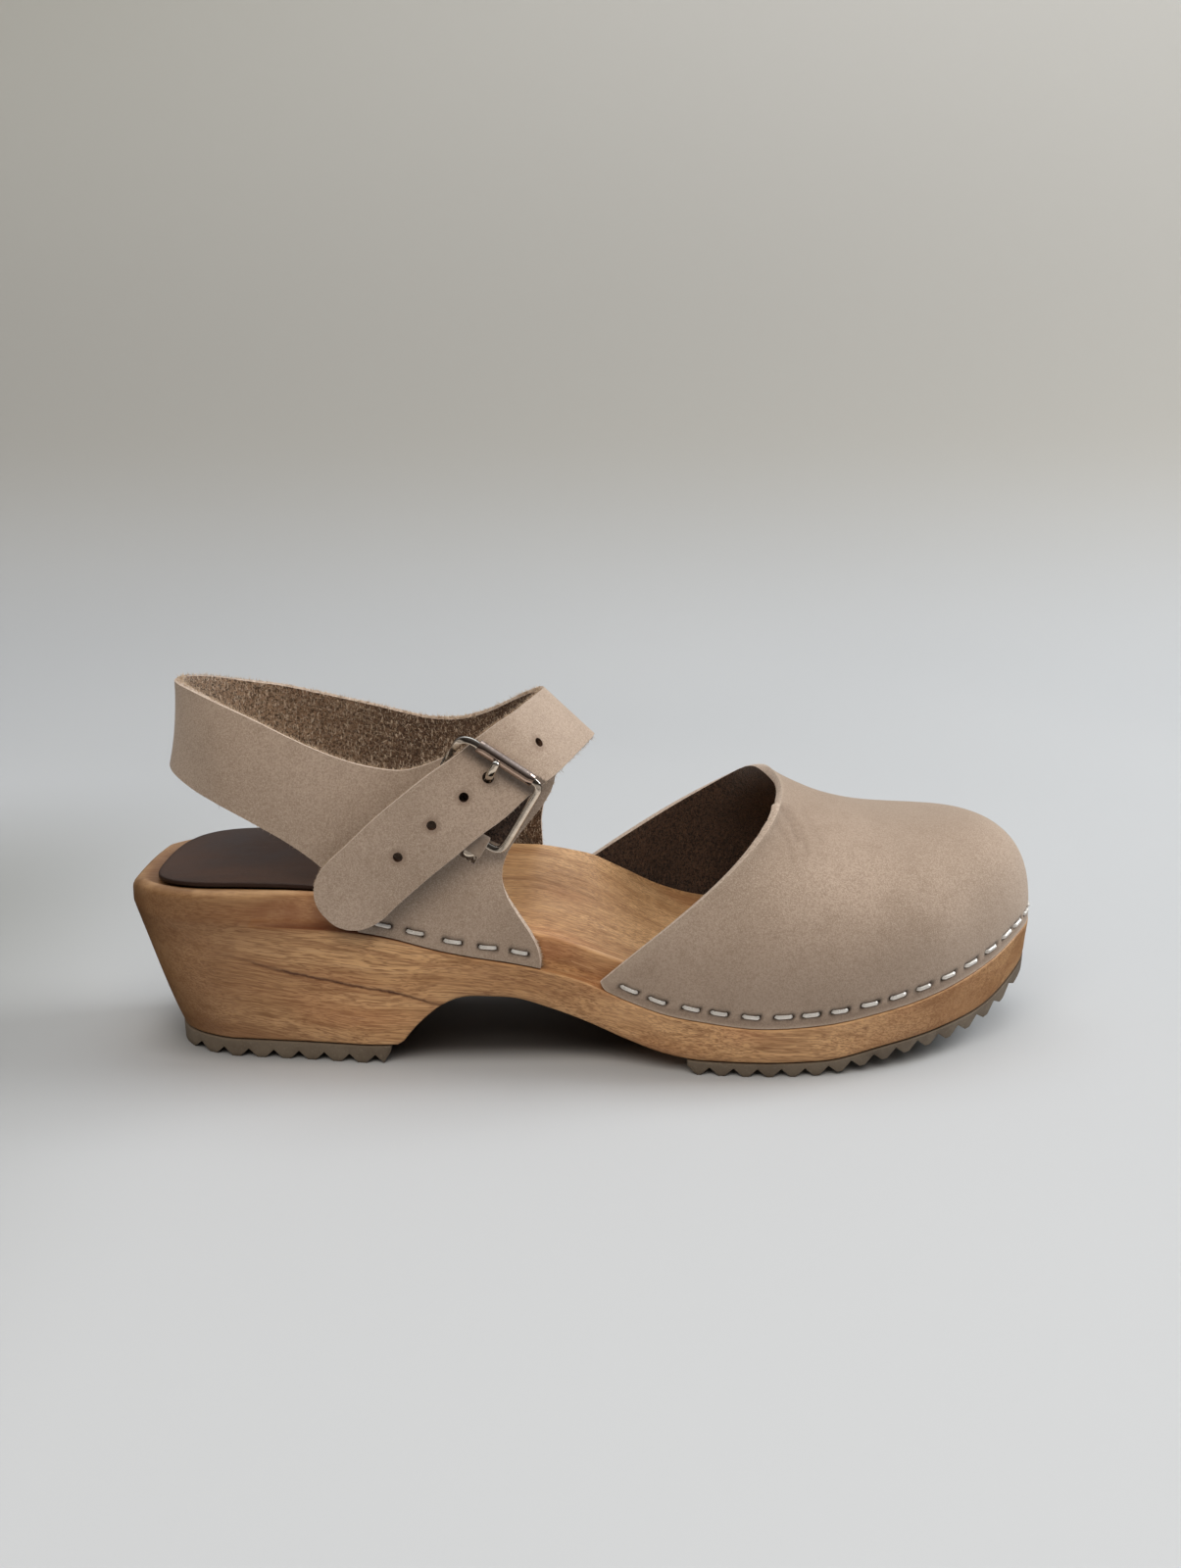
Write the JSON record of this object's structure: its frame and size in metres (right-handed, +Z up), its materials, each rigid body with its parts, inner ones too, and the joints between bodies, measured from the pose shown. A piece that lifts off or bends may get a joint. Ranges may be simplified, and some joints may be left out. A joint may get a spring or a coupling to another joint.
{
  "type": "clog",
  "caption": "Wooden-soled clog for the right foot with a closed stapled leather vamp, a leather heel strap and a buckled instep strap.",
  "frame": {"origin": "on the ground, under the middle of the shoe's box", "axes": "+X from heel to toe, +Y towards the inner side of the foot, +Z up from the ground"},
  "size_m": [0.2478, 0.0941, 0.0991],
  "materials": {
    "wood": "alder, thin satin varnish",
    "tread": "matt taupe grey moulded rubber",
    "pad": "smooth dark brown lining leather",
    "nubuck": "matt taupe nubuck, raw flesh side",
    "nickel": "nickel-plated wire"
  },
  "bodies": {
    "root": {"sole_wood": "wood", "tread_heel": "tread", "tread_fore": "tread", "heel_pad": "pad", "vamp": "nubuck", "quarter_strap": "nubuck", "buckle_chape": "nubuck", "buckle_frame": "nickel", "buckle_roller": "nickel", "buckle_prong": "nickel", "rivet": "nickel"}
  },
  "joints": []
}
